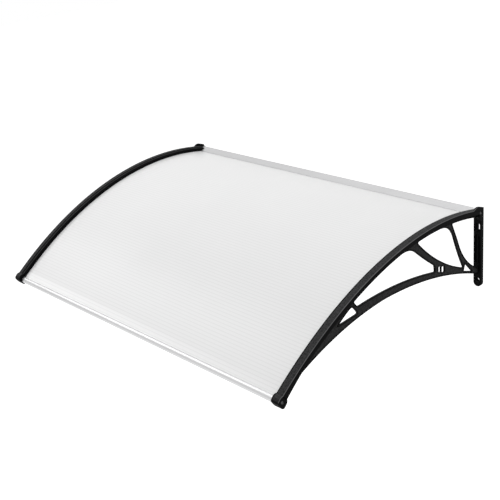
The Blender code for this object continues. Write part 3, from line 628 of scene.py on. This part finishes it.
def pan_screw():
    """One screw, head up, with its head's seat at the origin."""
    screw = bmesh.new()
    outline = list(HEAD_OUTLINE)
    for i in range(THREADS):
        crest = -THREAD_START - i * THREAD_PITCH
        outline += [(CREST, crest), (ROOT, crest - THREAD_PITCH / 2)]
    outline += [(TIP_RADIUS, -SHANK + TIP), (0, -SHANK)]
    points = [screw.verts.new((radius * MM, 0, height * MM)) for radius, height in outline]
    for pair in zip(points, points[1:]):
        screw.edges.new(pair)
    bmesh.ops.spin(screw, geom=screw.verts[:] + screw.edges[:], cent=(0, 0, 0), axis=(0, 0, 1),
                   angle=2 * math.pi, steps=24, use_merge=True)
    bmesh.ops.remove_doubles(screw, verts=screw.verts, dist=0.2 * HAIR)
    socket = [face for face in screw.faces
              if all(corner.co.xy.length < SOCKET_RADIUS * MM + 2 * HAIR and corner.co.z > MM
                     for corner in face.verts)]
    bottom = corners_of(bmesh.ops.extrude_face_region(screw, geom=socket)["geom"])
    bmesh.ops.translate(screw, vec=(0, 0, -SOCKET_DEPTH * MM), verts=bottom)
    bmesh.ops.delete(screw, geom=socket, context="FACES")
    for corner in screw.verts:
        if abs(corner.co.xy.length - SOCKET_RADIUS * MM) < 0.2 * HAIR:
            turn = math.atan2(corner.co.y, corner.co.x)
            corner.co.xy *= 1 + LOBE_REACH * math.cos(LOBES * turn)
    bmesh.ops.recalc_face_normals(screw, faces=screw.faces)
    return screw


for hand, side in (("left", -1), ("right", 1)):
    for where, centre in (("front", by_front(*FRONT_SCREW)), ("rear", by_rail(*REAR_SCREW))):
        screw = pan_screw()
        bmesh.ops.transform(screw, verts=screw.verts, matrix=Matrix.Translation(
            (side * HEAD_SEAT, *centre)) @ Matrix.Rotation(side * math.pi / 2, 4, "Y"))
        shown(f"{where}_{hand}_pan_screw", screw, blackened, f"{where}_{hand}_screw")

# Studio: the canopy hangs clear over a plain white floor, in soft light from three large lamps: a
# wide one above, a long one at the left and one in front. The camera looks down on it from the
# front right, where the photograph was taken from.
FLOOR_HEIGHT = -1.5
FLOOR_REACH = 14
FLOOR_GLOW = 0.66
AIR_LIGHT = 0.5
# Each lamp's name, place, what it points at, size in metres and power in watts.
LAMPS = (("lamp_above", (0.3, -0.1, 2.7), (0, -0.4, -0.1), (2.2, 2.2), 34),
         ("lamp_side", (-2.1, -1.5, 1.6), (-2.1, -0.9, -0.1), (2.6, 1.3), 19.5),
         ("lamp_front", (1.9, -2.6, 1.5), (0, -0.4, -0.1), (1.6, 1.6), 8))
CAMERA_PLACE = (1.97853, -2.08820, 0.96036)
CAMERA_TURNS = (48.6848, 22.7135, -5.5139)
CAMERA_LENS, CAMERA_SENSOR = 67.21, 36


def seen_directly(start):
    """One for the camera's rays and for those that metal and gloss send on, else nothing."""
    kinds = [start.node("LightPath", {}, output=kind) for kind in
             ("Is Camera Ray", "Is Glossy Ray", "Is Transmission Ray")]
    return (kinds[0] + kinds[1] + kinds[2]).reckoned("MINIMUM", 1)


floor_shape = bmesh.new()
bmesh.ops.create_grid(floor_shape, x_segments=1, y_segments=1, size=FLOOR_REACH)
bmesh.ops.translate(floor_shape, vec=(0, 0, FLOOR_HEIGHT), verts=floor_shape.verts)
floor_mesh = bpy.data.meshes.new("floor")
floor_shape.to_mesh(floor_mesh)
floor_shape.free()
floor = bpy.data.objects.new("floor", floor_mesh)
bpy.context.collection.objects.link(floor)
white, shader, start = new_finish("white_floor", Base_Color=(0.82, 0.82, 0.82, 1), Roughness=0.9)
matt = Wire(white.node_tree, shader.outputs[0])
glow = start.node("Emission", {"Color": (1, 1, 1, 1), "Strength": FLOOR_GLOW})
seen = start.node("AddShader", {0: matt, 1: glow})
lit = start.node("MixShader", {0: seen_directly(start), 1: matt, 2: seen})
white.node_tree.links.new(lit.socket, white.node_tree.nodes["Material Output"].inputs[0])
floor_mesh.materials.append(white)

world = bpy.data.worlds.new("studio")
bpy.context.scene.world = world
world.use_nodes = True
background = world.node_tree.nodes["Background"]
background.inputs["Color"].default_value = (1, 1, 1, 1)
air = AIR_LIGHT + seen_directly(Wire(world.node_tree)) * (1 - AIR_LIGHT)
world.node_tree.links.new(air.socket, background.inputs["Strength"])

for name, lamp_place, aim, size, power in LAMPS:
    lamp = bpy.data.lights.new(name, "AREA")
    lamp.shape = "RECTANGLE"
    lamp.size, lamp.size_y = size
    lamp.energy = power
    holder = bpy.data.objects.new(name, lamp)
    holder.location = lamp_place
    holder.rotation_euler = (Vector(aim) - holder.location).to_track_quat("-Z", "Y").to_euler()
    bpy.context.collection.objects.link(holder)

camera = bpy.data.objects.new("camera", bpy.data.cameras.new("camera"))
camera.data.lens = CAMERA_LENS
camera.data.sensor_width = CAMERA_SENSOR
azimuth, elevation, roll = (math.radians(angle) for angle in CAMERA_TURNS)
camera.matrix_world = (
    Matrix.Translation(CAMERA_PLACE) @ Matrix.Rotation(azimuth, 4, "Z")
    @ Matrix.Rotation(math.pi / 2 - elevation, 4, "X") @ Matrix.Rotation(roll, 4, "Z"))
bpy.context.collection.objects.link(camera)
bpy.context.scene.camera = camera
bpy.context.scene.view_settings.view_transform = "Standard"
